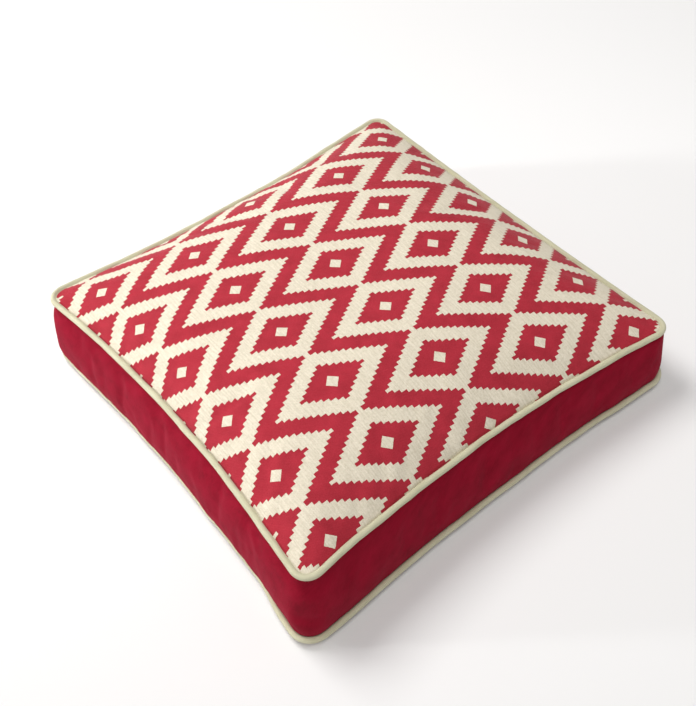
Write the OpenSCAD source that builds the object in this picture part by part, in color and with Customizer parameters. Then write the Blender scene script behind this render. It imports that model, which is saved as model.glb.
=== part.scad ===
// Boxed chair seat pad: a piped, zipped cover round a foam core with wadding.
// Millimetres. +Z is up, the front edge faces -Y, and the origin is at the
// middle of the flat underside. The zip runs along the back edge.

/* [Cover] */
// Width of the cover between its side seams
cover_w = 445; // [360:5:560]
// Depth of the cover from front seam to back seam
cover_d = 445; // [360:5:560]
// Height of the boxing between the two piped seams
boxing_h = 75; // [55:1:110]
// Radius of the corners, seen from above
corner_r = 30; // [24:1:50]
// How far the front and side seams pull in halfway between the corners
pull_in = 16; // [4:1:24]
// Rise of the crowned top above its seam
crown_h = 44; // [15:1:60]
// How far the boxing stands out from the seams halfway up
boxing_bulge = 4; // [2:0.5:8]
// Height of the bottom seam above the surface that the pad lies on
seam_lift = 9; // [6:0.5:15]
// Width of the underside's rim that curves up to the bottom seam
underside_rim = 28; // [18:1:40]
// Thickness of the cover fabric
fabric_t = 0.8; // [0.5:0.1:1.2]
// Width of the seam allowances turned inside
allowance = 12; // [8:1:16]

/* [Piping] */
// Outer diameter of the piping
piping_d = 6; // [4:0.5:9]
// Thickness of the piping's bias strip
piping_fabric_t = 0.5; // [0.4:0.1:0.8]

/* [Filling] */
// Gap between the filling and what it lies against
filling_gap = 0.6; // [0.4:0.1:2]
// Gap between the foam and the boxing's inner face, at the seams
foam_inset = 2; // [1:0.5:6]

/* [Zip] */
// Width of each zip tape
tape_w = 14; // [12:0.5:16]
// Thickness of the zip tapes
tape_t = 0.6; // [0.4:0.1:1]
// Distance from the zip's end stops to the seams beside the zip strips
zip_end_margin = 10; // [6:1:30]
// Width of each row of coil
coil_w = 2.8; // [2.2:0.1:3.4]
// Height of the coil above its tape
coil_h = 1.8; // [1.4:0.1:2.4]
// Gap between the two tapes and between the two rows of coil
chain_gap = 1.2; // [1:0.1:1.6]
// Opening between the folded edges of the two zip strips
strip_opening = 11.6; // [10.6:0.2:14]
// Depth of the hem folded back behind each strip's edge
hem = 8; // [6:0.5:9]

/* [Slider and puller] */
// Length of the slider along the zip
slider_len = 11; // [9:0.5:14]
// Thickness of the slider's two plates
plate_t = 1; // [0.8:0.1:1.2]
// Length of the puller from its pivot to its tip
pull_len = 21; // [16:1:26]
// Width of the puller
pull_w = 6; // [5.6:0.2:7]
// Thickness of the puller, and of its crossbar
pull_t = 1.2; // [1:0.1:1.4]

/* [Hidden] */
$fn = 48;

cover_red = [0.58, 0.09, 0.15];
piping_cream = [0.88, 0.87, 0.73];
panel_red = [0.72, 0.23, 0.28];
foam_yellow = [0.93, 0.88, 0.7];
wadding_white = [0.96, 0.96, 0.95];
cord_white = [0.92, 0.91, 0.87];
zip_red = [0.45, 0.06, 0.11];
metal = [0.7, 0.68, 0.62];

// Heights
layer_gap = 0.2;
bottom_seam = seam_lift;
top_seam = seam_lift + boxing_h;
mid_z = (bottom_seam + top_seam) / 2;
piping_flange = piping_fabric_t + layer_gap;
fold_z = piping_flange + layer_gap + fabric_t / 2;

// Outline: round corners joined by sides that bow in, and a straight back
ax = cover_w / 2 - corner_r;
ay = cover_d / 2 - corner_r;
front_r = (ax * ax - 2 * corner_r * pull_in + pull_in * pull_in) / (2 * pull_in);
side_r = (ay * ay - 2 * corner_r * pull_in + pull_in * pull_in) / (2 * pull_in);
front_lean = asin(ax / (front_r + corner_r));
side_lean = asin(ay / (side_r + corner_r));
front_c = -(cover_d / 2 - pull_in + front_r);
side_c = cover_w / 2 - pull_in + side_r;

// Zip: offsets in y are measured from the middle of the tapes
flat_half = tape_w + 2;
fabric_y = cover_d / 2 + boxing_bulge;
tape_y = fabric_y - 2 * fabric_t - 2 * layer_gap - tape_t / 2;
zip_half = ax - zip_end_margin;
run_gap = 0.4;
stop_len = 3;
slider_half_w = chain_gap / 2 + coil_w + run_gap + 0.8;
lip_t = 0.7;
plate_out = tape_t / 2 + coil_h + run_gap;
plate_in = tape_t / 2 + run_gap;
web_t = chain_gap / 2;
slider_x = zip_half - 0.5 - slider_len / 2;
pivot_y = plate_out + plate_t + run_gap + pull_t / 2;
arch_x = 2;
arch_t = 0.9;
arch_w = 1.4;
eye_len = 4.2;
eye_w = arch_w + 2 * run_gap;

function arc(cx, cy, r, from, to, n) =
    [for (i = [0:n - 1]) let (a = from + (to - from) * i / n) [cx + r * cos(a), cy + r * sin(a)]];

// Points round the cover, o outside the seam line, anticlockwise from the front left
function outline(o) = concat(
    arc(0, front_c, front_r - o, 90 + front_lean, 90 - front_lean, 10),
    arc(ax, -ay, corner_r + o, -90 - front_lean, side_lean, 6),
    arc(side_c, 0, side_r - o, 180 + side_lean, 180 - side_lean, 10),
    arc(ax, ay, corner_r + o, -side_lean, 90, 6),
    [for (i = [0:9]) [ax - 2 * ax * i / 10, cover_d / 2 + o]],
    arc(-ax, ay, corner_r + o, 90, 180 + side_lean, 6),
    arc(-side_c, 0, side_r - o, side_lean, -side_lean, 10),
    arc(-ax, -ay, corner_r + o, 180 - side_lean, 270 + front_lean, 6));
around = len(outline(0));
back_right = 32;
back_left = 42;

// One level ring: the outline at offset o, shrunk by s towards the middle
function ring(o, s, z) = [for (p = outline(o)) [s * p[0], s * p[1], z]];

// Closed skin through a stack of rings, capped by a flat face at both ends
module skin(rings) {
    n = len(rings);
    points = [for (r = rings) each r];
    low_cap = [[for (i = [0:around - 1]) i]];
    high_cap = [[for (i = [around - 1:-1:0]) (n - 1) * around + i]];
    walls = [for (k = [0:n - 2]) for (i = [0:around - 1])
        let (a = k * around + i, b = k * around + (i + 1) % around)
        each [[a, a + around, b], [b, a + around, b + around]]];
    polyhedron(points, concat(low_cap, walls, high_cap), convexity = 6);
}

// Closed loop of a section given as points of offset and height, clockwise
module loop_skin(section) {
    n = len(section);
    points = [for (p = section) each ring(p[0], 1, p[1])];
    polyhedron(points, [for (k = [0:n - 1]) for (i = [0:around - 1])
        let (a = k * around + i, b = k * around + (i + 1) % around,
            c = (k + 1) % n * around + i, d = (k + 1) % n * around + (i + 1) % around)
        each [[a, b, c], [b, d, c]]], convexity = 6);
}

// Share of the crown's rise at ring s, from 1 in the middle to 0 at the seam
function crown(s) = pow(1 - s * s, 0.8);
crown_steps = [0.05, 0.2, 0.35, 0.5, 0.62, 0.74, 0.84, 0.91, 0.96, 0.99];
wall_share = 0.96;
crown_down = [for (i = [len(crown_steps) - 1:-1:0]) crown_steps[i]];

// A strip of even thickness t along a path in the plane
function turned(v) = [-v[1], v[0]] / norm(v);
function side_of(path, i) =
    i == 0 ? turned(path[1] - path[0])
    : i == len(path) - 1 ? turned(path[i] - path[i - 1])
    : let (a = turned(path[i] - path[i - 1]), b = turned(path[i + 1] - path[i]))
        (a + b) / (1 + a * b);
function ribbon(path, t) = concat(
    [for (i = [0:len(path) - 1]) path[i] + side_of(path, i) * t / 2],
    [for (i = [len(path) - 1:-1:0]) path[i] - side_of(path, i) * t / 2]);

// Run of a ribbon, as points of offset and height, round the front and sides
module front_and_sides(section) {
    n = len(section);
    stations = [for (i = [back_left:around + back_right]) i % around];
    m = len(stations);
    points = [for (p = section) let (loop = ring(p[0], 1, p[1])) each [for (i = stations) loop[i]]];
    walls = [for (k = [0:n - 1]) for (i = [0:m - 2])
        let (a = k * m + i, c = (k + 1) % n * m + i)
        each [[a, a + 1, c], [a + 1, c + 1, c]]];
    steps = [for (k = [0:n / 2 - 2]) [k, k + 1, n - 2 - k, n - 1 - k]];
    start_cap = [for (s = steps) [for (k = s) k * m]];
    end_cap = [for (s = steps) [for (i = [3:-1:0]) s[i] * m + m - 1]];
    polyhedron(points, concat(start_cap, walls, end_cap), convexity = 6);
}

// How far the boxing's outer face stands out at height z: flat where the zip lies
function bulge(z) =
    let (reach = boxing_h / 2 - fold_z - flat_half, t = max(0, abs(z - mid_z) - flat_half) / reach)
    boxing_bulge * (1 - t * t);

// Middle line of the boxing from one height to another
rise_steps = 5;
function boxing_line(from, to) =
    [for (i = [0:rise_steps]) let (z = from + (to - from) * i / rise_steps) [bulge(z) - fabric_t / 2, z]];
low_fold = bottom_seam + fold_z;
high_fold = top_seam - fold_z;
low_flat = mid_z - flat_half;
high_flat = mid_z + flat_half;

function boxing_section() =
    ribbon(concat([[-allowance, low_fold]], boxing_line(low_fold, low_flat),
        boxing_line(high_flat, high_fold), [[-allowance, high_fold]]), fabric_t);
module upper_strip_section() {
    edge = mid_z + strip_opening / 2 + fabric_t / 2;
    face = boxing_bulge - fabric_t / 2;
    back = face - fabric_t - layer_gap;
    polygon(ribbon(concat([[-allowance, high_fold]], boxing_line(high_fold, high_flat),
        [[face, edge], [back, edge], [back, edge + hem]]), fabric_t));
}
module back_strip() {
    translate([-ax, cover_d / 2, 0]) rotate([90, 0, 90]) linear_extrude(2 * ax) upper_strip_section();
}

// Piping: a bias strip wrapped round a cord, its two layers running inside as a flange
function piping_cover_section() =
    let (r_out = piping_d / 2, r_in = r_out - piping_fabric_t, c = r_out + layer_gap,
        open_out = asin(piping_flange / r_out), open_in = asin(layer_gap / r_in))
    concat([[-allowance, layer_gap], [-allowance, piping_flange]],
        arc(c, 0, r_out, 180 - open_out, open_out - 180, 12),
        [[c - r_out * cos(open_out), -piping_flange],
            [-allowance, -piping_flange], [-allowance, -layer_gap]],
        arc(c, 0, r_in, open_in - 180, 180 - open_in, 10),
        [[c - r_in * cos(open_in), layer_gap]]);
function piping_cord_section() =
    arc(piping_d / 2 + layer_gap, 0, piping_d / 2 - piping_fabric_t - layer_gap, 360, 0, 10);

// Same piece on the other side of the zip's middle line
module below_zip() {
    translate([0, 0, 2 * mid_z]) mirror([0, 0, 1]) children();
}

// A zip piece: its own x, y and z are measured from the middle of the chain
module on_zip() {
    translate([0, tape_y, mid_z]) children();
}

// ---- Filling ----
module foam_core() {
    height = boxing_h - 2 * fold_z - fabric_t - 2 * filling_gap;
    color(foam_yellow) translate([0, 0, mid_z - height / 2])
        linear_extrude(height) polygon(outline(-fabric_t - foam_inset));
}
module wadding_top() {
    fold = top_seam + fold_z;
    half = fabric_t / 2;
    wall = -allowance - filling_gap;
    under = fold - half - fabric_t - filling_gap;
    color(wadding_white) skin(concat(
        [ring(wall - filling_gap, 1, top_seam - fold_z - half), ring(wall, 1, fold + half + filling_gap)],
        [for (s = crown_down) if (s <= wall_share)
            ring(-fabric_t, s, under + (crown_h - fabric_t) * crown(s))]));
}
module wadding_bottom() {
    low = fabric_t + filling_gap;
    high = bottom_seam + fold_z + fabric_t / 2;
    color(wadding_white) translate([0, 0, low])
        linear_extrude(high - low) polygon(outline(-underside_rim - filling_gap));
}

// ---- Cover ----
module top_panel() {
    fold = top_seam + fold_z;
    half = fabric_t / 2;
    rise = crown_h - fabric_t;
    color(panel_red) skin(concat(
        [for (s = crown_steps) ring(-fabric_t, s, fold - half - fabric_t + rise * crown(s))],
        [ring(-3 * fabric_t, 1, fold + half), ring(-allowance, 1, fold + half),
            ring(-allowance, 1, fold - half), ring(0, 1, fold - half)],
        [for (s = crown_down) ring(0, s, fold - half + rise * crown(s))]));
}
module bottom_panel() {
    fold = bottom_seam - fold_z;
    half = fabric_t / 2;
    drop = fold - half;
    rim = [0, 0.25, 0.5, 0.75];
    color(cover_red) skin(concat(
        [for (k = rim) ring(-underside_rim * (1 - k), 1, drop * k * k)],
        [ring(0, 1, fold + half), ring(-allowance, 1, fold + half),
            ring(-allowance, 1, fold - half), ring(-5 * fabric_t, 1, fold - half)],
        [for (k = [0.75, 0.5, 0.25, 0])
            ring(-underside_rim * (1 - k) - fabric_t / 2, 1, drop * k * k + fabric_t)]));
}
module boxing_band() {
    color(cover_red) front_and_sides(boxing_section());
}
module zip_strip_upper() {
    color(cover_red) back_strip();
}
module zip_strip_lower() {
    color(cover_red) below_zip() back_strip();
}

// ---- Piping ----
module top_piping_cord() {
    color(cord_white) translate([0, 0, top_seam]) loop_skin(piping_cord_section());
}
module top_piping_cover() {
    color(piping_cream) translate([0, 0, top_seam]) loop_skin(piping_cover_section());
}
module bottom_piping_cord() {
    color(cord_white) translate([0, 0, bottom_seam]) loop_skin(piping_cord_section());
}
module bottom_piping_cover() {
    color(piping_cream) translate([0, 0, bottom_seam]) loop_skin(piping_cover_section());
}

// ---- Zip ----
module upper_tape() {
    translate([-ax, -tape_t / 2, chain_gap / 2]) cube([2 * ax, tape_t, tape_w - chain_gap / 2]);
}
module upper_coil() {
    translate([-zip_half, tape_t / 2, chain_gap / 2]) cube([2 * zip_half, coil_h, coil_w]);
}
module upper_stop() {
    translate([zip_half, tape_t / 2, chain_gap / 2]) cube([stop_len, coil_h + 0.2, coil_w]);
}
module zip_tape_upper() {
    color(zip_red) on_zip() upper_tape();
}
module zip_tape_lower() {
    color(zip_red) below_zip() on_zip() upper_tape();
}
module zip_coil_upper() {
    color(zip_red) on_zip() upper_coil();
}
module zip_coil_lower() {
    color(zip_red) below_zip() on_zip() upper_coil();
}
module zip_top_stops() {
    color(metal) {
        on_zip() upper_stop();
        below_zip() on_zip() upper_stop();
    }
}
module zip_bottom_stop() {
    stop_w = chain_gap + 2 * coil_w;
    color(metal) on_zip() translate([-zip_half - stop_len, tape_t / 2, -stop_w / 2])
        cube([stop_len, coil_h, stop_w]);
}

// Plate with rounded ends, lying in x and z, from y upwards
module slider_plate(y) {
    end_r = 3;
    translate([0, y + plate_t, 0]) rotate([90, 0, 0]) linear_extrude(plate_t)
        intersection() {
            square([slider_len, 2 * slider_half_w], center = true);
            union() {
                square([slider_len - 2 * end_r, 2 * slider_half_w], center = true);
                square([slider_len, 2 * (slider_half_w - end_r)], center = true);
                for (x = [-1, 1]) for (z = [-1, 1])
                    translate([x * (slider_len / 2 - end_r), z * (slider_half_w - end_r)]) circle(r = end_r);
            }
        }
}
module zip_slider() {
    lip_len = slider_len - 6.4;
    arch_h = pull_t + 2 * run_gap;
    arch_len = 2 * (arch_x + arch_t);
    color(metal) on_zip() translate([slider_x, 0, 0]) {
        slider_plate(plate_out);
        slider_plate(-plate_in - plate_t);
        translate([slider_len / 2 - 4, -plate_in, -web_t / 2])
            cube([3, plate_in + plate_out, web_t]);
        for (z = [-slider_half_w, slider_half_w - lip_t])
            translate([-lip_len / 2, plate_out - 1, z]) cube([lip_len, 1, lip_t]);
        for (x = [-arch_x - arch_t, arch_x])
            translate([x, plate_out + plate_t, -arch_w / 2]) cube([arch_t, arch_h, arch_w]);
        translate([-arch_len / 2, plate_out + plate_t + arch_h, -arch_w / 2])
            cube([arch_len, arch_t, arch_w]);
    }
}
module zip_puller() {
    tip_r = pull_w / 2;
    bar_r = pull_t / 2;
    color(metal) on_zip() translate([slider_x, pivot_y, 0]) {
        cylinder(h = pull_w, r = bar_r, center = true);
        difference() {
            rotate([90, 0, 0]) linear_extrude(pull_t, center = true) union() {
                translate([-pull_len + tip_r, -pull_w / 2]) square([pull_len - tip_r, pull_w]);
                translate([-pull_len + tip_r, 0]) circle(r = tip_r);
            }
            translate([-eye_len - bar_r, -pull_t, -eye_w / 2]) cube([eye_len, 2 * pull_t, eye_w]);
            translate([-pull_len + tip_r, 0, 0]) rotate([90, 0, 0])
                cylinder(h = 2 * pull_t, r = 1.2, center = true);
        }
    }
}

foam_core();
wadding_top();
wadding_bottom();
top_panel();
bottom_panel();
boxing_band();
zip_strip_upper();
zip_strip_lower();
top_piping_cord();
top_piping_cover();
bottom_piping_cord();
bottom_piping_cover();
zip_tape_upper();
zip_tape_lower();
zip_coil_upper();
zip_coil_lower();
zip_top_stops();
zip_bottom_stop();
zip_slider();
zip_puller();
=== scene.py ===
import math

import bpy
import numpy as np
from mathutils import Matrix, Vector, noise


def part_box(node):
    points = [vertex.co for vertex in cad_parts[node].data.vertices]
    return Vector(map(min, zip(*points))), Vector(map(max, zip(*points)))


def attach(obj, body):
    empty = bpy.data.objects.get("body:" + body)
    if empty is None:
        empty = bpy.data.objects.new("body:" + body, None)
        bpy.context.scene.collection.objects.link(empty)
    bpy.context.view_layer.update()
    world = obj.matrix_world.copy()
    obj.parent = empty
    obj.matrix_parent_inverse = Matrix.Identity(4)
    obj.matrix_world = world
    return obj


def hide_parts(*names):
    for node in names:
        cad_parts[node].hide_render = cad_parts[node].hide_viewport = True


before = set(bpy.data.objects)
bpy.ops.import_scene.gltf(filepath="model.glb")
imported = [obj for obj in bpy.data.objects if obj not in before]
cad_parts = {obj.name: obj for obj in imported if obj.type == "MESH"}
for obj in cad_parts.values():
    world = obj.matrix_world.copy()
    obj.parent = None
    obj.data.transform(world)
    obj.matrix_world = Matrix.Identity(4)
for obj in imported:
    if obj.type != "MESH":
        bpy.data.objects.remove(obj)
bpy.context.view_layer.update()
scene = bpy.context.scene
scene.view_settings.view_transform = "Standard"

# ---- Camera: the photograph's viewing angle ----
AZIMUTH, ELEVATION, ROLL = (math.radians(a) for a in (55.7, 48.7, -5.7))
LENS, SENSOR = 52.572, 36
DISTANCE = 1.081
TARGET = Vector((0, 0, 0.009))
# how far the middle of the view lies to the right of and below the target, as slopes
AIM_RIGHT, AIM_DOWN = 0.005044, 0.004365
back = Vector((math.sin(AZIMUTH) * math.cos(ELEVATION),
               -math.cos(AZIMUTH) * math.cos(ELEVATION), math.sin(ELEVATION)))
right = (-back).cross(Vector((0, 0, 1))).normalized()
up = right.cross(-back)
cam_right = right * math.cos(ROLL) + up * math.sin(ROLL)
cam_up = -right * math.sin(ROLL) + up * math.cos(ROLL)
look = (cam_right * AIM_RIGHT - cam_up * AIM_DOWN - back).normalized()
place = TARGET - DISTANCE * look
cam = bpy.data.objects.new("camera", bpy.data.cameras.new("camera"))
scene.collection.objects.link(cam)
cam.data.sensor_width = SENSOR
cam.data.lens = LENS
cam.data.clip_start = 0.02
turn = Matrix((cam_right, cam_up, back)).transposed()
cam.matrix_world = Matrix.Translation(place) @ turn.to_4x4()
scene.camera = cam

# ---- Sizes of the part, in metres ----
COVER_W, COVER_D = 0.445, 0.445
CORNER_R = 0.030
BOTTOM_SEAM, TOP_SEAM = 0.009, 0.084
MID_Z = (BOTTOM_SEAM + TOP_SEAM) / 2
HALF_BOXING = 0.0375
CROWN = 0.0455
BULGE = 0.004
PIPING_R = 0.003
FABRIC_T = 0.0008
ALLOWANCE = 0.012
FOLD_Z = 0.0013
AX = COVER_W / 2 - CORNER_R
BACK_FACE = COVER_D / 2 + BULGE
FLAT_HALF = 0.016
STRIP_OPENING = 0.0116
HEM = 0.008
TAPE_Y = 0.2242
TAPE_W, TAPE_T = 0.014, 0.0006
CHAIN_GAP = 0.0012
ZIP_HALF = 0.1825
COIL_W, COIL_H = 0.0028, 0.0018
RIM = 0.028
# The back, where the zip is, keeps still from here on
HELD_Y = 0.205
# How far the turned-in allowance starts from the seam
TURN = 0.0015

# The pad's own state: how far each side of the two seams bows in, front right back left, how far
# each top corner stands up or has settled, and where the front side has its crease
TOP_BOWS = (0.0128, 0.0142, 0.0030, 0.0132)
BOTTOM_BOWS = (0.0090, 0.0080, 0.0010, 0.0090)
CORNER_LIFTS = {(-1, -1): 0.002, (1, -1): 0.010, (1, 1): -0.013, (-1, 1): 0.000}
TOP_CORNER_R, BOTTOM_CORNER_R = 0.011, 0.018
CREASE_X = 0.132
CREASE_DEPTH, CREASE_W, CREASE_LEAN = 0.0011, 0.0035, 0.05
# Points along each side of the seam lines, and rows of the wall between them
SIDE = 96
ROWS = 16
# The cover's simulation: the filling's push, how much the cloth shrinks, and its limits
PRESSURE, SHRINK, FRAMES, FURTHEST = 4, -0.008, 20, 0.009


def smooth(t):
    t = np.clip(t, 0, 1)
    return t * t * (3 - 2 * t)


def wave(x, y, z, scale, seed):
    """Smooth noise from -1 to 1 at a point."""
    return noise.noise(Vector((x / scale + seed * 7.3, y / scale - seed * 3.1, z / scale + seed)))


# ---- Seam lines: round corners joined by sides that bow in ----
def arc(cx, cy, r, start, end, n=40):
    a = np.radians(np.linspace(start, end, n))
    return np.c_[cx + r * np.cos(a), cy + r * np.sin(a)]


def seam_loop(half_w, half_d, r, bows, n=SIDE):
    """n points for each side, anticlockwise from the middle of the front left corner."""
    ax, ay = half_w - r, half_d - r
    halves = (ax, ay, ax, ay)
    big = [(a * a - 2 * r * b + b * b) / (2 * b) for a, b in zip(halves, bows)]
    lean = [math.degrees(math.asin(a / (R + r))) for a, R in zip(halves, big)]
    lf, lr, lb, ll = lean
    centres = ((0, -(half_d - bows[0] + big[0])), (half_w - bows[1] + big[1], 0),
               (0, half_d - bows[2] + big[2]), (-(half_w - bows[3] + big[3]), 0))
    corners = ((-ax, -ay, 180 - ll, 270 + lf), (ax, -ay, -90 - lf, lr),
               (ax, ay, -lr, 90 + lb), (-ax, ay, 90 - lb, 180 + ll))
    points = []
    for k in range(4):
        cx, cy, a0, a1 = corners[k]
        nx, ny, b0, b1 = corners[(k + 1) % 4]
        middle = 90 + 90 * k
        side = np.vstack([arc(cx, cy, r, (a0 + a1) / 2, a1),
                          arc(*centres[k], big[k], middle + lean[k], middle - lean[k], 120)[1:-1],
                          arc(nx, ny, r, b0, (b0 + b1) / 2)])
        run = np.r_[0, np.cumsum(np.linalg.norm(np.diff(side, axis=0), axis=1))]
        want = np.linspace(0, run[-1], n, endpoint=False)
        points.append(np.c_[np.interp(want, run, side[:, 0]), np.interp(want, run, side[:, 1])])
    return np.vstack(points)


def closed_normals(loop):
    """Level outward direction at each point of an anticlockwise loop."""
    t = np.roll(loop, -1, 0) - np.roll(loop, 1, 0)
    nrm = np.c_[t[:, 1], -t[:, 0]]
    return nrm / np.linalg.norm(nrm, axis=1)[:, None]


def corner_lift(x, y):
    """How far the corners' own heights raise the top seam at a point."""
    u, v = np.clip(x / (COVER_W / 2), -1, 1), np.clip(y / (COVER_D / 2), -1, 1)
    return sum(h * (1 + cu * u) * (1 + cv * v) / 4 for (cu, cv), h in CORNER_LIFTS.items())


def seam_line(bows, r, z, seed, lifted, spread, shift):
    """A seam's loop in space: spread widens the cover's half sizes and shift moves it back."""
    flat = seam_loop(COVER_W / 2 + spread[0], COVER_D / 2 + spread[1], r, bows)
    nrm = closed_normals(flat)
    out = np.array([wave(x, y, 0, 0.075, seed) * 0.0014 + wave(x, y, 1, 0.022, seed) * 0.0006
                    for x, y in flat])
    calm = 1 - smooth((flat[:, 1] - 0.17) / 0.04)
    flat = flat + nrm * (out * calm)[:, None]
    flat[:, 1] += shift
    rise = np.array([wave(x, y, 2, 0.09, seed) * 0.0013 for x, y in flat]) * calm
    height = z + rise + (corner_lift(flat[:, 0], flat[:, 1]) if lifted else 0)
    return np.c_[flat, height]


TOP_LINE = seam_line(TOP_BOWS, TOP_CORNER_R, TOP_SEAM, 1, True,
                     spread=(-0.0052, -0.0042), shift=0.0005)
BOTTOM_LINE = seam_line(BOTTOM_BOWS, BOTTOM_CORNER_R, BOTTOM_SEAM, 2, False,
                        spread=(0.003, 0.004), shift=-0.005)
AROUND = len(TOP_LINE)


# ---- Panels: a square grid whose edge is the seam line ----
def edge_index(n):
    """For each cell corner on the rim of the (n+1)^2 grid, in loop order: its row and column."""
    front = [(0, i) for i in range(n)]
    right_ = [(j, n) for j in range(n)]
    back_ = [(n, n - i) for i in range(n)]
    left_ = [(n - j, 0) for j in range(n)]
    return front + right_ + back_ + left_


RIM_OF_GRID = edge_index(SIDE)


def cells(A):
    """The four corners of each cell of a grid of values, in order round the cell."""
    return np.stack([A[:-1, :-1], A[:-1, 1:], A[1:, 1:], A[1:, :-1]], -1)


TURNED_OVER = [0, 3, 2, 1]


def grid_on(loop, n=SIDE):
    """Level positions and the ring share of each point of the grid inside a loop."""
    u, v = np.meshgrid(np.linspace(-1, 1, n + 1), np.linspace(-1, 1, n + 1))
    share = np.maximum(np.abs(u), np.abs(v))
    closed = np.vstack([loop, loop[:1]])
    safe = np.maximum(share, 1e-9)
    uu, vv = u / safe, v / safe
    along = np.select(
        [vv <= -1 + 1e-9, uu >= 1 - 1e-9, vv >= 1 - 1e-9],
        [(uu + 1) / 2, 1 + (vv + 1) / 2, 2 + (1 - uu) / 2], 3 + (1 - vv) / 2) * n
    along = np.mod(along, 4 * n)
    ring = np.stack([np.interp(along, np.arange(4 * n + 1), closed[:, c]) for c in range(3)], -1)
    half = np.array([COVER_W / 2 * 0.985, COVER_D / 2 * 0.985])
    plain = np.stack([u * half[0], v * half[1]], -1)
    w = (share ** 3)[..., None]
    level = plain * (1 - w) + ring[..., :2] * share[..., None] * w
    return level, share, ring[..., 2], u, v


def top_form():
    level, share, seam_z, u, v = grid_on(TOP_LINE)
    dome = ((1 - np.abs(u) ** 2.1) * (1 - np.abs(v) ** 2.1)) ** 0.56
    base = TOP_SEAM + FOLD_Z + corner_lift(level[..., 0], level[..., 1])
    base = base * (1 - share ** 4) + (seam_z + FOLD_Z) * share ** 4
    return np.dstack([level, base + CROWN * dome])


def bottom_form():
    level, share, seam_z, _, _ = grid_on(BOTTOM_LINE)
    reach = COVER_W / 2
    inward = (1 - share) * reach
    curve = np.clip(1 - inward / RIM, 0, 1) ** 2
    return np.dstack([level, (seam_z - FOLD_Z) * curve])


def wall_form():
    """Rows from the bottom seam to the top one, standing out a little in between."""
    nrm = closed_normals(TOP_LINE[:, :2])
    low = BOTTOM_LINE + [0, 0, FOLD_Z]
    high = TOP_LINE - [0, 0, FOLD_Z]
    rows = []
    for k in range(ROWS + 1):
        t = k / ROWS
        p = low * (1 - t) + high * t
        reach = np.clip((np.abs(p[:, 2] - MID_Z) - FLAT_HALF) / (HALF_BOXING - FOLD_Z - FLAT_HALF), 0, 1)
        out = BULGE * (1 - reach ** 2)
        at_back = smooth((p[:, 1] - 0.195) / 0.02)
        on_back = np.abs(p[:, 0]) < AX + 0.004
        q = p.copy()
        q[:, :2] += nrm * out[:, None]
        flat_y = COVER_D / 2 + out
        hold = np.where(on_back & (p[:, 1] > 0), at_back, 0) * (reach < 1)
        q[:, 1] = q[:, 1] * (1 - hold) + flat_y * hold
        rows.append(q)
    return np.array(rows)


top_start, bottom_start, wall_start = top_form(), bottom_form(), wall_form()
n1 = SIDE + 1
GRID = n1 * n1


def joined_form():
    """One closed mesh: the top grid, the wall's inner rows, the bottom grid."""
    top_id = np.arange(GRID).reshape(n1, n1)
    bottom_id = GRID + np.arange(GRID).reshape(n1, n1)
    wall_id = 2 * GRID + np.arange((ROWS - 1) * AROUND).reshape(ROWS - 1, AROUND)
    rim = np.array(RIM_OF_GRID)
    rows = np.vstack([bottom_id[rim[:, 0], rim[:, 1]][None], wall_id,
                      top_id[rim[:, 0], rim[:, 1]][None]])
    faces = cells(top_id).reshape(-1, 4).tolist()
    faces += cells(bottom_id)[..., TURNED_OVER].reshape(-1, 4).tolist()
    nxt = np.roll(rows, -1, 1)
    faces += np.stack([rows[:-1], nxt[:-1], nxt[1:], rows[1:]], -1).reshape(-1, 4).tolist()
    points = np.vstack([top_start.reshape(-1, 3), bottom_start.reshape(-1, 3),
                        wall_start[1:-1].reshape(-1, 3)])
    return points, faces, rim


def inflate(points, faces, rim):
    """The cover under the filling's pressure: seams, underside and zip held, the rest free."""
    mesh = bpy.data.meshes.new("form")
    mesh.from_pydata(points.tolist(), [], faces)
    form = bpy.data.objects.new("form", mesh)
    scene.collection.objects.link(form)
    group = form.vertex_groups.new(name="held")
    wall_ids = np.arange(2 * GRID, len(points))
    for held in (rim[:, 0] * n1 + rim[:, 1], np.arange(GRID, 2 * GRID),
                 wall_ids[points[2 * GRID:, 1] > HELD_Y]):
        group.add(held.tolist(), 1.0, "REPLACE")
    cloth = form.modifiers.new("cloth", "CLOTH")
    s = cloth.settings
    s.quality = 6
    s.mass = 0.25
    s.tension_stiffness = 20
    s.compression_stiffness = 20
    s.shear_stiffness = 8
    s.bending_stiffness = 0.6
    s.use_pressure = True
    s.uniform_pressure_force = PRESSURE
    s.shrink_min = SHRINK
    s.vertex_group_mass = "held"
    s.pin_stiffness = 1
    s.effector_weights.gravity = 0
    cloth.collision_settings.use_collision = False
    cloth.point_cache.frame_start = 1
    cloth.point_cache.frame_end = FRAMES
    for f in range(1, FRAMES + 1):
        scene.frame_set(f)
    dg = bpy.context.evaluated_depsgraph_get()
    moved = np.array([v.co for v in form.evaluated_get(dg).data.vertices])
    scene.frame_set(1)
    bpy.data.objects.remove(form)
    bpy.data.meshes.remove(mesh)
    step = moved - points
    far = np.linalg.norm(step, axis=1)
    limit = np.where(far > FURTHEST, FURTHEST / np.maximum(far, 1e-9), 1)
    return points + step * limit[:, None]


form_points, form_faces, rim_cells = joined_form()
form_points = inflate(form_points, form_faces, rim_cells)
top_grid = form_points[:GRID].reshape(n1, n1, 3)
bottom_grid = form_points[GRID:2 * GRID].reshape(n1, n1, 3)
wall_grid = np.concatenate([wall_start[:1], form_points[2 * GRID:].reshape(ROWS - 1, AROUND, 3),
                            wall_start[-1:]])
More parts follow.
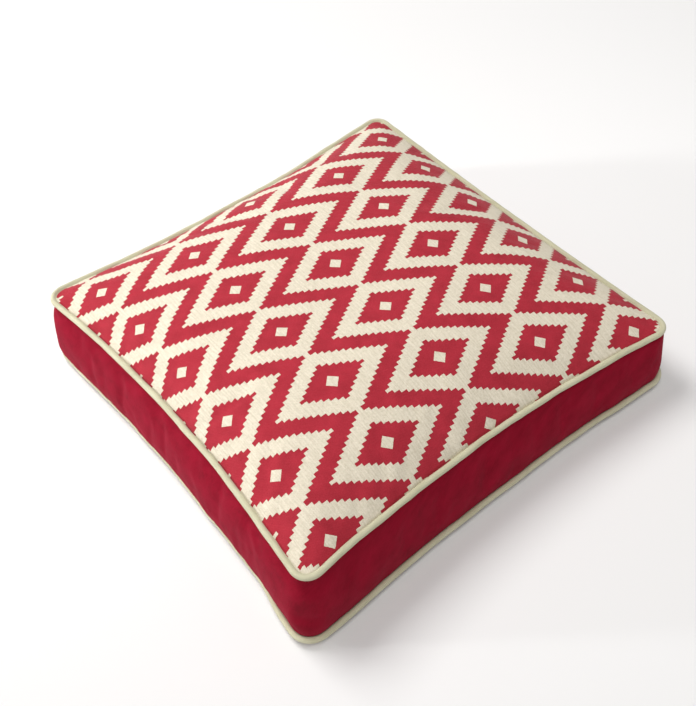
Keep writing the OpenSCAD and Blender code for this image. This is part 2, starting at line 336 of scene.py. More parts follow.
# The crown keeps its own height however far the pressure pushed it
middle = SIDE // 2
surplus = top_grid[middle, middle, 2] - top_start[middle, middle, 2]
ring_share = np.maximum(*np.abs(np.meshgrid(np.linspace(-1, 1, n1), np.linspace(-1, 1, n1))))
top_grid[..., 2] -= surplus * (1 - ring_share ** 2)
wall_grid[0] = BOTTOM_LINE + [0, 0, FOLD_Z]
wall_grid[-1] = TOP_LINE - [0, 0, FOLD_Z]

# Soft unevenness of the filling, and small gathers where the fabric runs into the seams
for j in range(n1):
    for i in range(n1):
        u, v = 2 * i / SIDE - 1, 2 * j / SIDE - 1
        s = max(abs(u), abs(v))
        x, y, z = top_grid[j, i]
        soft = wave(x, y, 0, 0.085, 5) * 0.0016 * (1 - s ** 6)
        run = x if abs(v) > abs(u) else y
        near = math.exp(-((1 - s) * COVER_W / 2 - 0.007) ** 2 / 0.00008)
        gather = wave(run, s * 0.01, 3, 0.011, 6) * 0.0007 * near
        top_grid[j, i, 2] = z + soft + gather
nrm = closed_normals(TOP_LINE[:, :2])
for k in range(1, ROWS):
    t = k / ROWS
    edge = min(t, 1 - t) * 0.075
    near = math.exp(-(edge - 0.007) ** 2 / 0.00012)
    for i in range(AROUND):
        x, y, z = wall_grid[k, i]
        if y > HELD_Y:
            continue
        free = float(1 - smooth((y - 0.18) / 0.025))
        soft = wave(x, y, z * 1.6, 0.07, 8) * 0.0016 * math.sin(math.pi * t)
        gather = wave(x, y, z * 0.25, 0.012, 9) * 0.0006 * near
        off = x - CREASE_X - CREASE_LEAN * (z - MID_Z)
        fold = math.exp(-(off / CREASE_W) ** 2) if y < -0.15 else 0
        crease = -CREASE_DEPTH * fold * (1 - t) * t * 4
        wall_grid[k, i, :2] += nrm[i] * (soft + gather + crease) * free


# ---- Mesh helpers ----
def arc_lengths(P, middle_row, middle_col):
    """Position of each grid point on the flat cloth, from the middle, along the grid's lines."""
    du = np.linalg.norm(np.diff(P, axis=1), axis=2)
    U = np.concatenate([np.zeros((P.shape[0], 1)), np.cumsum(du, 1)], 1)
    U -= U[:, middle_col:middle_col + 1]
    dv = np.linalg.norm(np.diff(P, axis=0), axis=2)
    V = np.concatenate([np.zeros((1, P.shape[1])), np.cumsum(dv, 0)], 0)
    V -= V[middle_row:middle_row + 1]
    return U, V


def mesh_object(name, points, faces, flat=None):
    """A smooth-shaded mesh, with the cloth's flat coordinates as its UV map where it has them."""
    mesh = bpy.data.meshes.new(name)
    mesh.from_pydata(points, [], faces)
    if flat is not None:
        uv = mesh.uv_layers.new(name="flat")
        uv.data.foreach_set("uv", np.asarray(flat, np.float32).ravel())
    mesh.polygons.foreach_set("use_smooth", [True] * len(mesh.polygons))
    obj = bpy.data.objects.new(name, mesh)
    scene.collection.objects.link(obj)
    return obj


def grid_object(name, P, U, V, closed=False, tube=False, flip=False):
    """A mesh from rows of points: closed joins the rows' ends, tube joins the last row to the first."""
    rows, cols = P.shape[:2]
    ids = np.arange(rows * cols).reshape(rows, cols)
    if tube:
        ids = np.concatenate([ids, ids[:1]], 0)
    if closed:
        ids = np.concatenate([ids, ids[:, :1]], 1)
    quads, flat = cells(ids), np.stack([cells(U), cells(V)], -1)
    if flip:
        quads, flat = quads[..., ::-1], flat[..., ::-1, :]
    return mesh_object(name, P.reshape(-1, 3).tolist(), quads.reshape(-1, 4).tolist(), flat)


def wrap_uv(P):
    """Flat coordinates of rows that close on themselves: one more column than the points have."""
    Q = np.concatenate([P, P[:, :1]], 1)
    return arc_lengths(Q, P.shape[0] // 2, 0)


def thicken(obj, t, offset=-1):
    """Gives a surface a thickness t, inward unless offset says otherwise."""
    m = obj.modifiers.new("thickness", "SOLIDIFY")
    m.thickness = t
    m.offset = offset


def soften(obj, levels=1):
    m = obj.modifiers.new("soft", "SUBSURF")
    m.levels = m.render_levels = levels


def finish_piece(obj, material, nodes, body="cushion"):
    obj.data.materials.append(material)
    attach(obj, body)
    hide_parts(*nodes)


# ---- Materials ----
class Paint:
    """A node material with one Principled shader; its cloth coordinates are the flat UV map."""

    def __init__(self, name, roughness=0.8, metallic=0.0, sheen=0.0, sheen_roughness=0.5,
                 sheen_tint=(1, 1, 1), specular=0.5):
        self.m = bpy.data.materials.new(name)
        self.m.use_nodes = True
        self.t = self.m.node_tree
        self.t.nodes.clear()
        out = self.t.nodes.new("ShaderNodeOutputMaterial")
        self.b = self.t.nodes.new("ShaderNodeBsdfPrincipled")
        self.t.links.new(self.b.outputs[0], out.inputs[0])
        self.b.inputs["Roughness"].default_value = roughness
        self.b.inputs["Metallic"].default_value = metallic
        self.b.inputs["Sheen Weight"].default_value = sheen
        self.b.inputs["Sheen Roughness"].default_value = sheen_roughness
        self.b.inputs["Sheen Tint"].default_value = (*sheen_tint, 1)
        self.b.inputs["Specular IOR Level"].default_value = specular

    def put(self, socket, value):
        """Links another node's output to the socket, or sets a plain value on it."""
        if hasattr(value, "is_output"):
            self.t.links.new(value, socket)
        elif isinstance(value, tuple) and len(value) == 3 and socket.type == "RGBA":
            socket.default_value = (*value, 1)
        else:
            socket.default_value = value

    def math(self, op, a, b=0.0, c=0.0):
        n = self.t.nodes.new("ShaderNodeMath")
        n.operation = op
        for s, x in zip(n.inputs, (a, b, c)):
            self.put(s, x)
        return n.outputs[0]

    def flat(self):
        n = self.t.nodes.new("ShaderNodeUVMap")
        n.uv_map = "flat"
        s = self.t.nodes.new("ShaderNodeSeparateXYZ")
        self.put(s.inputs[0], n.outputs[0])
        return n.outputs[0], s.outputs[0], s.outputs[1]

    def place(self):
        n = self.t.nodes.new("ShaderNodeTexCoord")
        return n.outputs["Object"]

    def vector(self, x, y, z=0.0):
        n = self.t.nodes.new("ShaderNodeCombineXYZ")
        for s, v in zip(n.inputs, (x, y, z)):
            self.put(s, v)
        return n.outputs[0]

    def noise(self, vector, scale, detail=2.0, rough=0.5):
        n = self.t.nodes.new("ShaderNodeTexNoise")
        self.put(n.inputs["Vector"], vector)
        n.inputs["Scale"].default_value = scale
        n.inputs["Detail"].default_value = detail
        n.inputs["Roughness"].default_value = rough
        return n.outputs["Fac"]

    def mix(self, fac, a, b):
        n = self.t.nodes.new("ShaderNodeMix")
        n.data_type = "RGBA"
        self.put(n.inputs[0], fac)
        self.put(n.inputs[6], a)
        self.put(n.inputs[7], b)
        return n.outputs[2]

    def span(self, x, low, high, to_low=0.0, to_high=1.0):
        n = self.t.nodes.new("ShaderNodeMapRange")
        for s, v in zip(n.inputs, (x, low, high, to_low, to_high)):
            self.put(s, v)
        return n.outputs[0]

    def bump(self, height, distance, strength=1.0):
        n = self.t.nodes.new("ShaderNodeBump")
        n.inputs["Distance"].default_value = distance
        n.inputs["Strength"].default_value = strength
        self.put(n.inputs["Height"], height)
        self.put(self.b.inputs["Normal"], n.outputs[0])

    def colour(self, value):
        self.put(self.b.inputs["Base Color"], value)

    def rough(self, value):
        self.put(self.b.inputs["Roughness"], value)

    def sine(self, x, pitch):
        """A wave from 0 to 1 along x with this pitch."""
        turned = self.math("MULTIPLY_ADD", x, 2 * math.pi / pitch, 0.0)
        return self.math("MULTIPLY_ADD", self.math("SINE", turned), 0.5, 0.5)


# The pattern, in metres and in steps of its zigzag edges: its pitch, the middle of the first
# diamond, the pale ring's outer and inner reach, and the heart's size and slope
STEP_X, STEP_Y = 22.5, 17.0
PITCH_X, PITCH_Y = 0.0758, 0.0928
FIRST_X, FIRST_Y = -0.171, -0.183
OUTER, INNER = 11.5, 6.5
HEART, HEART_LEAN = 2.15, 1.62


def diamonds(p, u, v):
    """1 in the pale rings and hearts of a stepped diamond lattice, 0 between them."""
    x = p.math("DIVIDE", p.math("SUBTRACT", u, FIRST_X), PITCH_X)
    y = p.math("DIVIDE", p.math("SUBTRACT", v, FIRST_Y), PITCH_Y)
    found = []
    for parity in (0, 1):
        ys = p.math("MULTIPLY_ADD", y, 0.5, -0.5 * parity)
        dy = p.math("MULTIPLY", p.math("ABSOLUTE", p.math("SUBTRACT", ys, p.math("ROUND", ys))), 2.0)
        xs = p.math("SUBTRACT", x, 0.5 * parity)
        dx = p.math("MULTIPLY", p.math("ABSOLUTE", p.math("SUBTRACT", xs, p.math("ROUND", xs))), STEP_X)
        level = p.math("ROUND", p.math("MULTIPLY", dy, STEP_Y))
        reach = p.math("ADD", dx, level)
        ring = p.math("MULTIPLY", p.math("LESS_THAN", reach, OUTER),
                      p.math("GREATER_THAN", reach, INNER))
        fine = p.math("MULTIPLY", dy, STEP_Y)
        heart = p.math("LESS_THAN", p.math("MULTIPLY_ADD", fine, HEART_LEAN, dx), HEART)
        found.append(p.math("MAXIMUM", ring, heart))
    return p.math("MAXIMUM", *found)


def patterned_cotton():
    p = Paint("patterned_cotton", roughness=0.85, sheen=0.12, sheen_roughness=0.4, specular=0.25)
    uv, u, v = p.flat()
    # threads wander a little, so the steps' edges aren't ruled
    wander = p.noise(uv, 420, 1)
    uw = p.math("ADD", u, p.math("MULTIPLY_ADD", wander, 0.0008, -0.0004))
    pale = diamonds(p, uw, v)
    rib = p.sine(p.math("SUBTRACT", v, u), 0.0024)
    cross = p.sine(p.math("SUBTRACT", v, u), 0.0019)
    mottle = p.noise(uv, 60, 3, 0.6)
    slub = p.noise(p.vector(p.math("MULTIPLY", u, 60.0), p.math("MULTIPLY", v, 700.0)), 1.0, 2)
    fine = p.noise(uv, 900, 2, 0.7)
    cream = p.mix(p.span(slub, 0.3, 0.7), (0.62, 0.565, 0.445), (0.77, 0.715, 0.59))
    grain = p.noise(uv, 420, 3, 0.75)
    cream = p.mix(p.span(grain, 0.45, 0.72, 0.0, 0.55), cream, (0.47, 0.44, 0.31))
    cream = p.mix(p.span(fine, 0.5, 0.75, 0.0, 0.35), cream, (0.66, 0.47, 0.38))
    cream = p.mix(p.math("MULTIPLY", rib, 0.10), cream, (0.60, 0.51, 0.38))
    red = p.mix(p.span(mottle, 0.3, 0.7), (0.31, 0.0085, 0.021), (0.41, 0.016, 0.034))
    red = p.mix(p.span(fine, 0.35, 0.7, 0.0, 0.25), red, (0.55, 0.075, 0.10))
    red = p.mix(p.math("MULTIPLY", cross, 0.18), red, (0.24, 0.006, 0.014))
    p.colour(p.mix(pale, red, cream))
    height = p.math("ADD", p.math("MULTIPLY", rib, p.math("MULTIPLY_ADD", pale, 0.15, 0.15)),
                    p.math("MULTIPLY", cross, p.math("MULTIPLY_ADD", pale, -0.15, 0.3)))
    height = p.math("ADD", height, p.math("ADD", fine, p.math("MULTIPLY", grain, 1.2)))
    height = p.math("ADD", height, p.math("MULTIPLY", pale, 0.35))
    p.bump(height, 0.00035, 0.8)
    p.rough(p.span(fine, 0.2, 0.8, 0.72, 0.95))
    return p.m


def plain_cotton():
    p = Paint("plain_cotton", roughness=0.95, sheen=0.10, sheen_roughness=0.4,
              sheen_tint=(0.9, 0.2, 0.3), specular=0.08)
    uv, u, v = p.flat()
    nap = p.noise(p.vector(p.math("MULTIPLY", u, 500.0), p.math("MULTIPLY", v, 160.0)), 1.0, 3, 0.6)
    cloud = p.noise(uv, 48, 4, 0.6)
    fine = p.noise(uv, 1500, 2, 0.7)
    warp = p.sine(u, 0.0009)
    weft = p.sine(v, 0.0009)
    red = p.mix(p.span(cloud, 0.3, 0.7), (0.19, 0.0018, 0.012), (0.29, 0.0036, 0.021))
    red = p.mix(p.span(nap, 0.35, 0.75, 0.0, 0.35), red, (0.34, 0.012, 0.034))
    red = p.mix(p.span(fine, 0.5, 0.8, 0.0, 0.3), red, (0.22, 0.003, 0.010))
    p.colour(red)
    height = p.math("ADD", p.math("MULTIPLY", nap, 1.2), p.math("MULTIPLY", fine, 0.6))
    height = p.math("ADD", height, p.math("MULTIPLY", p.math("ADD", warp, weft), 0.15))
    p.bump(height, 0.0003, 0.6)
    p.rough(p.span(nap, 0.2, 0.8, 0.82, 0.98))
    return p.m


def piping_cotton():
    p = Paint("piping_cotton", roughness=0.8, sheen=0.15, sheen_roughness=0.4, specular=0.3)
    uv, u, v = p.flat()
    # cut on the bias, so the threads run slantwise
    a = p.math("ADD", u, v)
    b = p.math("SUBTRACT", u, v)
    threads = p.math("ADD", p.sine(a, 0.0011), p.sine(b, 0.0011))
    cloud = p.noise(uv, 30, 2)
    grime = p.noise(uv, 140, 3, 0.6)
    fine = p.noise(uv, 1100, 2)
    cream = p.mix(p.span(cloud, 0.3, 0.7), (0.55, 0.53, 0.36), (0.66, 0.64, 0.46))
    cream = p.mix(p.span(grime, 0.5, 0.8, 0.0, 0.3), cream, (0.40, 0.37, 0.22))
    cream = p.mix(p.math("MULTIPLY", threads, 0.12), cream, (0.42, 0.39, 0.25))
    p.colour(cream)
    p.bump(p.math("ADD", p.math("MULTIPLY", threads, 0.5), fine), 0.00025, 0.7)
    p.rough(p.span(fine, 0.2, 0.8, 0.7, 0.9))
    return p.m


def cord_cotton():
    p = Paint("cord_cotton", roughness=0.9, sheen=0.2, specular=0.2)
    uv, u, v = p.flat()
    ply = p.sine(p.math("ADD", u, p.math("MULTIPLY", v, 1.6)), 0.0013)
    fluff = p.noise(uv, 800, 3)
    p.colour(p.mix(ply, (0.62, 0.59, 0.51), (0.84, 0.81, 0.74)))
    p.bump(p.math("ADD", ply, fluff), 0.0003)
    return p.m


def filling(name, low, high, cell, distance):
    p = Paint(name, roughness=0.95, sheen=0.1, specular=0.15)
    where = p.place()
    cells = p.noise(where, cell, 3, 0.65)
    cloud = p.noise(where, 14, 2)
    p.colour(p.mix(p.span(p.math("ADD", cells, cloud), 0.7, 1.3), low, high))
    p.bump(cells, distance, 0.8)
    return p.m


def tape_weave():
    p = Paint("zip_tape", roughness=0.75, sheen=0.15, specular=0.3)
    uv, u, v = p.flat()
    lean = p.math("PINGPONG", v, 0.0022)
    twill = p.sine(p.math("ADD", u, lean), 0.0010)
    fine = p.noise(uv, 1200, 2)
    p.colour(p.mix(twill, (0.13, 0.004, 0.011), (0.24, 0.010, 0.024)))
    p.bump(p.math("ADD", twill, p.math("MULTIPLY", fine, 0.5)), 0.0002)
    return p.m


def coil_plastic():
    p = Paint("zip_coil", roughness=0.35, specular=0.5)
    uv, _, _ = p.flat()
    fine = p.noise(uv, 700, 2)
    p.colour(p.mix(fine, (0.16, 0.006, 0.016), (0.23, 0.011, 0.026)))
    p.rough(p.span(fine, 0.2, 0.8, 0.28, 0.45))
    p.bump(fine, 0.00005)
    return p.m


def zip_metal():
    p = Paint("zip_metal", roughness=0.3, metallic=1.0)
    where = p.place()
    wear = p.noise(where, 260, 4, 0.65)
    scratch = p.noise(where, 2400, 2, 0.6)
    p.colour(p.mix(p.span(wear, 0.35, 0.7), (0.60, 0.47, 0.27), (0.74, 0.62, 0.40)))
    p.rough(p.span(p.math("ADD", wear, scratch), 0.6, 1.4, 0.22, 0.42))
    p.bump(p.math("ADD", wear, p.math("MULTIPLY", scratch, 0.3)), 0.00004, 0.6)
    return p.m


def thread_material():
    p = Paint("sewing_thread", roughness=0.55, sheen=0.1, specular=0.4)
    where = p.place()
    ply = p.noise(where, 1800, 2)
    p.colour(p.mix(ply, (0.25, 0.006, 0.018), (0.45, 0.02, 0.045)))
    p.bump(ply, 0.00008)
    return p.m


TOP_CLOTH, PLAIN_CLOTH, PIPING_CLOTH = patterned_cotton(), plain_cotton(), piping_cotton()
CORD_CLOTH, THREAD = cord_cotton(), thread_material()
FOAM = filling("foam", (0.80, 0.70, 0.42), (0.90, 0.82, 0.56), 520, 0.0005)
WADDING = filling("wadding", (0.82, 0.82, 0.80), (0.93, 0.93, 0.92), 190, 0.0012)
TAPE, COIL, METAL = tape_weave(), coil_plastic(), zip_metal()

# ---- Cover ----
U, V = arc_lengths(top_grid, middle, middle)
top_panel = grid_object("cover_top_panel", top_grid, U, V)
soften(top_panel)
thicken(top_panel, FABRIC_T)
finish_piece(top_panel, TOP_CLOTH, ["top_panel"])

U, V = arc_lengths(bottom_grid, middle, middle)
bottom_panel = grid_object("cover_bottom_panel", bottom_grid, U, V, flip=True)
soften(bottom_panel)
thicken(bottom_panel, FABRIC_T)
finish_piece(bottom_panel, PLAIN_CLOTH, ["bottom_panel"])

# The boxing band starts and ends at the zip strips
on_back = [i for i in range(2 * SIDE, 3 * SIDE) if abs(TOP_LINE[i, 0]) <= AX]
first_back, last_back = on_back[0], on_back[-1]
band_cols = list(range(last_back, AROUND)) + list(range(0, first_back + 1))
inward = np.c_[closed_normals(TOP_LINE[:, :2]), np.zeros(AROUND)]
turned_in = [wall_grid[0] - inward * ALLOWANCE, wall_grid[0] - inward * TURN, *wall_grid,
             wall_grid[-1] - inward * TURN, wall_grid[-1] - inward * ALLOWANCE]
band = np.array(turned_in)[:, band_cols]
U, V = arc_lengths(band, ROWS // 2, 0)
boxing = grid_object("cover_boxing_band", band, U, V)
soften(boxing)
thicken(boxing, FABRIC_T)
finish_piece(boxing, PLAIN_CLOTH, ["boxing_band"])

# ---- Zip strips: down from the seam, folded at the opening, hem turned up behind ----
HEM_GAP = 0.0002
back_cols = list(range(first_back, last_back + 1))


def zip_strip(name, node, upper):
    sign = 1 if upper else -1
    seam_row = wall_grid[-1 if upper else 0, back_cols]
    face = BACK_FACE
    inner = face - 1.5 * FABRIC_T - HEM_GAP
    edge = MID_Z + sign * STRIP_OPENING / 2
    rows = [seam_row - [0, depth, 0] for depth in (ALLOWANCE, TURN)] + [seam_row]
    for t in (0.2, 0.4, 0.6, 0.8, 1.0):
        z = seam_row[:, 2] * (1 - t) + (MID_Z + sign * FLAT_HALF) * t
        y = seam_row[:, 1] * (1 - t) ** 2 + face * (1 - (1 - t) ** 2)
        rows.append(np.c_[seam_row[:, 0], y, z])
    for z in (MID_Z + sign * 0.0125, MID_Z + sign * 0.009, edge + sign * 0.0008):
        rows.append(np.c_[seam_row[:, 0], np.full(len(seam_row), face), np.full(len(seam_row), z)])
    for y, z in ((face - 0.0003, edge + sign * 0.0002), ((face + inner) / 2, edge),
                 (inner + 0.0003, edge + sign * 0.0002), (inner, edge + sign * 0.0008),
                 (inner, edge + sign * HEM / 2), (inner, edge + sign * HEM)):
        rows.append(np.c_[seam_row[:, 0], np.full(len(seam_row), y), np.full(len(seam_row), z)])
    P = np.array(rows)
    U, V = arc_lengths(P, 2, len(back_cols) // 2)
    strip = grid_object(name, P, U, V, flip=upper)
    thicken(strip, FABRIC_T * 0.75)
    soften(strip)
    finish_piece(strip, PLAIN_CLOTH, [node])


zip_strip("zip_strip_top", "zip_strip_upper", True)
zip_strip("zip_strip_bottom", "zip_strip_lower", False)


# ---- Piping: a bias strip wrapped round a cord, standing out from the seam ----
def swept(line, section):
    """Rows of points: each of the section's points of out and up, carried along the seam line."""
    nrm = closed_normals(line[:, :2])
    rows = []
    for out, rise in section:
        p = line.copy()
        p[:, :2] += nrm * out
        p[:, 2] += rise
        rows.append(p)
    return np.array(rows)


def round_points(out, rise, r, start, end, n):
    a = np.radians(np.linspace(start, end, n))
    return [(out + r * math.cos(t), rise + r * math.sin(t)) for t in a]


# How far out the cord lies, the strip's thickness and half the gap between its two flanges,
# the angle they leave open, the cord's radius and the length of one turn of its strands
PIPE_OUT, STRIP_T, FLANGE, OPENING = 0.0024, 0.0005, 0.00045, 9
CORD_R, CORD_LAY = 0.0021, 0.009


def piping(name, line, rise, cover_node, cord_node, join_at, tuck=0.0):
    """rise is the cord's height over the seam, join_at how far along the strip's ends lap, and
    tuck how far the piping is pushed in under the front side's bulge."""
    front = smooth((-line[:, 1] - 0.19) / 0.03) * smooth((0.2 - line[:, 0]) / 0.06)
    line = line.copy()
    line[:, 1] += tuck * front
    section = ([(-ALLOWANCE, FLANGE), (-ALLOWANCE / 2, FLANGE)]
               + round_points(PIPE_OUT, rise, PIPING_R - 0.0001, 180 - OPENING, OPENING - 180, 18)
               + [(-ALLOWANCE / 2, -FLANGE), (-ALLOWANCE, -FLANGE)])
    P = swept(line, section)
    U, V = wrap_uv(P)
    nrm = closed_normals(line[:, :2])
    axis = line + np.c_[nrm * PIPE_OUT, np.full(len(line), rise)]
    # puckers along the stitching, and the lapped join where the strip's ends meet
    run = np.r_[0, np.cumsum(np.linalg.norm(np.diff(line, axis=0), axis=1))]
    for k in range(2, len(section) - 2):
        for i in range(len(line)):
            x, y, z = P[k, i]
            swell = 1 + 0.07 * wave(x, y, z, 0.02, 12) + 0.09 * wave(x, y, z, 0.007, 13)
            swell += 0.10 * math.exp(-((run[i] - join_at) / 0.007) ** 2)
            P[k, i] = axis[i] + (P[k, i] - axis[i]) * swell
    cover = grid_object("piping_cover_" + name, P, U, V, closed=True, flip=True)
    soften(cover)
    thicken(cover, STRIP_T)
    finish_piece(cover, PIPING_CLOTH, [cover_node])
    length = float(run[-1] + np.linalg.norm(line[0] - line[-1]))
    # the cord: three strands, with a whole number of turns round the pad
    twist = run * round(length / CORD_LAY) * 2 * math.pi / length
    rows = []
    for a in np.linspace(0, 2 * math.pi, 13)[:-1]:
        r = CORD_R * (1 + 0.09 * np.cos(3 * (a + twist / 3)))
        p = axis.copy()
        p[:, :2] += nrm * (r * np.cos(a))[:, None]
        p[:, 2] += r * np.sin(a)
        rows.append(p)
    P = np.array(rows + [rows[0]])
    U, V = wrap_uv(P)
    cord = grid_object("piping_cord_" + name, P[:-1], U, V, closed=True, tube=True)
    finish_piece(cord, CORD_CLOTH, [cord_node])


piping("top", TOP_LINE, 0.0009, "top_piping_cover", "top_piping_cord", 1.33)
piping("bottom", BOTTOM_LINE, 0.0, "bottom_piping_cover", "bottom_piping_cord", 0.92, tuck=0.0042)


# ---- Filling ----
def stacked_object(name, rings):
    """A closed mesh from stacked loops, with one flat face at each end."""
    rows, cols = len(rings), len(rings[0])
    P = np.array(rings)
    ids = np.arange(rows * cols).reshape(rows, cols)
    nxt = np.roll(ids, -1, 1)
    faces = np.stack([ids[:-1], nxt[:-1], nxt[1:], ids[1:]], -1).reshape(-1, 4).tolist()
    faces += [ids[0, ::-1].tolist(), ids[-1].tolist()]
    return mesh_object(name, P.reshape(-1, 3).tolist(), faces)


FILLING_BOWS, FILLING_CORNER_R = (0.016, 0.016, 0.001, 0.016), CORNER_R - 0.002
FOAM_INSET, FOAM_EDGE_R = 0.0085, 0.006
# How much further than the cover the filling has sunk under a settled corner
SUNK = 1.1


def filled_ring(z, inset):
    loop = seam_loop(COVER_W / 2 - inset, COVER_D / 2 - inset, FILLING_CORNER_R, FILLING_BOWS, 24)
    return np.c_[loop, np.full(len(loop), z)]


foam_low, foam_high = (b[2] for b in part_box("foam_core"))
rings = []
for a in np.radians(np.linspace(-90, 0, 5)):
    rings.append(filled_ring(foam_low + FOAM_EDGE_R * (1 + math.sin(a)),
                             FOAM_INSET + FOAM_EDGE_R * (1 - math.cos(a))))
for a in np.radians(np.linspace(0, 90, 5)):
    rings.append(filled_ring(foam_high - FOAM_EDGE_R * (1 - math.sin(a)),
                             FOAM_INSET + FOAM_EDGE_R * (1 - math.cos(a))))
for ring_ in rings:
    share = np.clip((ring_[:, 2] - foam_low) / (foam_high - foam_low), 0, 1)
    ring_[:, 2] += share * np.minimum(corner_lift(ring_[:, 0], ring_[:, 1]) * SUNK, 0)
foam = stacked_object("foam_core_block", rings)
finish_piece(foam, FOAM, ["foam_core"])

# The top wadding: a lid a little way under the cover, and a floor on the foam
WADDING_INSET, UNDER_COVER, UNDER_EDGE, THINNEST = 0.018, 0.0030, 0.005, 0.0012
wad_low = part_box("wadding_top")[0][2]
under_cover = top_grid[::4, ::4].copy()
m = len(under_cover)
near_edge = np.maximum(*np.abs(np.meshgrid(np.linspace(-1, 1, m), np.linspace(-1, 1, m))))
lid = under_cover.copy()
lid[..., :2] *= 1 - WADDING_INSET / (COVER_W / 2)
sole = lid.copy()
sole[..., 2] = wad_low + np.minimum(corner_lift(lid[..., 0], lid[..., 1]) * SUNK, 0)
lid[..., 2] = np.maximum(under_cover[..., 2] - UNDER_COVER - UNDER_EDGE * near_edge ** 8,
                         sole[..., 2] + THINNEST)
lid_ids = np.arange(m * m).reshape(m, m)
sole_ids = lid_ids + m * m
faces = cells(lid_ids).reshape(-1, 4).tolist()
faces += cells(sole_ids)[..., TURNED_OVER].reshape(-1, 4).tolist()
rim_cells = np.array(edge_index(m - 1))
lid_rim = lid_ids[rim_cells[:, 0], rim_cells[:, 1]]
sole_rim = sole_ids[rim_cells[:, 0], rim_cells[:, 1]]
faces += np.stack([sole_rim, np.roll(sole_rim, -1), np.roll(lid_rim, -1), lid_rim], -1).tolist()
wadding = mesh_object("wadding_top_layer",
                      np.vstack([lid.reshape(-1, 3), sole.reshape(-1, 3)]).tolist(), faces)
finish_piece(wadding, WADDING, ["wadding_top"])

low_z, high_z = (b[2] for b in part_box("wadding_bottom"))
wad_b = stacked_object("wadding_bottom_layer", [
    filled_ring(low_z + 0.0003, RIM + 0.004), filled_ring(low_z + 0.0018, RIM + 0.0012),
    filled_ring(high_z - 0.0018, RIM + 0.0012), filled_ring(high_z - 0.0003, RIM + 0.004)])
finish_piece(wad_b, WADDING, ["wadding_bottom"])


# ---- Zip ----
def tape(name, node, upper):
    sign = 1 if upper else -1
    xs = np.linspace(-AX, AX, 80)
    P = np.array([np.c_[xs, np.full_like(xs, TAPE_Y), np.full_like(xs, MID_Z + sign * z)]
                  for z in np.linspace(CHAIN_GAP / 2, TAPE_W, 9)])
    U, V = arc_lengths(P, 0, len(xs) // 2)
    obj = grid_object(name, P, U, V, flip=not upper)
    thicken(obj, TAPE_T, 0)
    finish_piece(obj, TAPE, [node])


tape("zip_tape_top", "zip_tape_upper", True)
tape("zip_tape_bottom", "zip_tape_lower", False)


def coil(name, node, upper):
    """One row of the chain: a flattened spiral of monofilament sewn along the tape's edge."""
    sign = 1 if upper else -1
    pitch, wire, per = 0.00125, 0.00034, 10
    turns = int(2 * ZIP_HALF / pitch)
    t = np.arange(turns * per + 1) / per
    a = t * 2 * math.pi + (0 if upper else math.pi)
    x = -ZIP_HALF + t * pitch
    half_w, half_h = (COIL_W - 0.0002) / 2, COIL_H / 2
    z = MID_Z + sign * (CHAIN_GAP / 2 - 0.0002 + half_w + (half_w - wire) * np.cos(a))
    y = TAPE_Y + TAPE_T / 2 + half_h + (half_h - wire) * np.sin(a)
    c = np.c_[x, y, z]
    tan = np.gradient(c, axis=0)
    tan /= np.linalg.norm(tan, axis=1)[:, None]
    side_ = np.cross(tan, [1.0, 0, 0])
    side_ /= np.linalg.norm(side_, axis=1)[:, None]
    other = np.cross(tan, side_)
    rows = []
    for s in range(7):
        q = 2 * math.pi * s / 6
        rows.append(c + wire * (math.cos(q) * side_ + math.sin(q) * other))
    P = np.array(rows)
    U, V = arc_lengths(P, 0, 0)
    cols = P.shape[1]
    ids = np.arange(6 * cols).reshape(6, cols)
    ids = np.concatenate([ids, ids[:1]], 0)
    faces = cells(ids).reshape(-1, 4)[:, ::-1].tolist()
    faces += [ids[:6, 0].tolist(), ids[:6, -1][::-1].tolist()]
    flat = np.stack([cells(U), cells(V)], -1).reshape(-1, 4, 2)[:, ::-1].reshape(-1, 2)
    # the two end caps take no weave
    flat = np.vstack([flat, np.zeros((12, 2))])
    obj = mesh_object(name, P[:6].reshape(-1, 3).tolist(), faces, flat)
    finish_piece(obj, COIL, [node])


coil("zip_coil_top", "zip_coil_upper", True)
coil("zip_coil_bottom", "zip_coil_lower", False)


def stitches(name, points, direction, length, r, lift):
    """Short raised stitches centred on points, each a small rounded bead along direction."""
    d = Vector(direction).normalized()
    o = Vector(lift).normalized()
    c = d.cross(o)
    verts, faces = [], []
    for p in points:
        base = len(verts)
        p = Vector(p)
        for t, s in ((-1, 0.25), (-0.6, 0.9), (0, 1.0), (0.6, 0.9), (1, 0.25)):
            for q in range(6):
                a = 2 * math.pi * q / 6
                verts.append(p + d * (t * length / 2) + (c * math.cos(a) + o * math.sin(a)) * r * s
                             - o * (abs(t) * r * 0.7))
        for k in range(4):
            for q in range(6):
                w = (q + 1) % 6
                near, far = base + 6 * k, base + 6 * k + 6
                faces.append([near + q, near + w, far + w, far + q])
        faces.append([base + q for q in range(5, -1, -1)])
        faces.append([base + 24 + q for q in range(6)])
    obj = mesh_object(name, [tuple(v) for v in verts], faces)
    obj.data.materials.append(THREAD)
    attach(obj, "cushion")


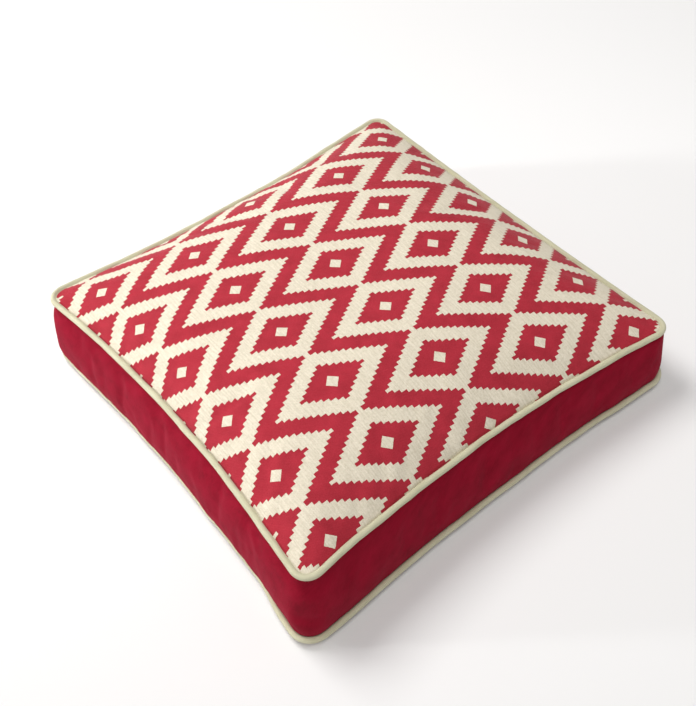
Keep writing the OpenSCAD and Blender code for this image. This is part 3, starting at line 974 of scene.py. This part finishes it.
xs = np.arange(-AX + 0.004, AX - 0.003, 0.0031)
stitch_z = STRIP_OPENING / 2 + 0.0045
stitches("zip_stitching", [(x, BACK_FACE + 0.0001, MID_Z + s * stitch_z) for s in (-1, 1) for x in xs],
         (1, 0, 0), 0.0025, 0.00028, (0, 1, 0))

# CAD nodes that keep their shape get their material
for node in ("zip_slider", "zip_puller", "zip_top_stops", "zip_bottom_stop"):
    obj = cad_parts[node]
    obj.data.materials.clear()
    obj.data.materials.append(METAL)

# ---- Floor and light ----
FLOOR = 40
floor_mesh = bpy.data.meshes.new("floor")
floor_mesh.from_pydata([(x * FLOOR, y * FLOOR, 0) for x, y in ((-1, -1), (1, -1), (1, 1), (-1, 1))],
                       [], [(0, 1, 2, 3)])
ground = bpy.data.objects.new("floor", floor_mesh)
scene.collection.objects.link(ground)
ground_paint = Paint("floor_paint", roughness=0.9, specular=0.1)
ground_paint.colour((0.80, 0.80, 0.80))
floor_mesh.materials.append(ground_paint.m)

world = bpy.data.worlds.new("studio")
scene.world = world
world.use_nodes = True
world.node_tree.nodes["Background"].inputs[0].default_value = (1, 1, 1, 1)
world.node_tree.nodes["Background"].inputs[1].default_value = 0.24


def add_light(name, kind, at, aim, power, colour=(1, 1, 1), **settings):
    data = bpy.data.lights.new(name, kind)
    data.energy = power
    data.color = colour
    for key, value in settings.items():
        setattr(data, key, value)
    lamp = bpy.data.objects.new(name, data)
    scene.collection.objects.link(lamp)
    lamp.location = at
    lamp.rotation_euler = (Vector(aim) - Vector(at)).to_track_quat("-Z", "Y").to_euler()


WARM = (1, 0.98, 0.965)
add_light("key", "AREA", (-1.2, -0.45, 2.35), (0, 0, 0.05), 50, WARM, shape="SQUARE", size=1.2)
add_light("fill", "SUN", (0.75, -0.5, 2.3), (0, 0, 0), 1.35, WARM, angle=0.6)
# a soft pool of light on the left end of the front side, as in the photograph
add_light("front", "SPOT", (-2.1, -2.6, 0.65), (-0.27, -0.26, 0.02), 740,
          spot_size=0.21, spot_blend=1.0, shadow_soft_size=0.4)
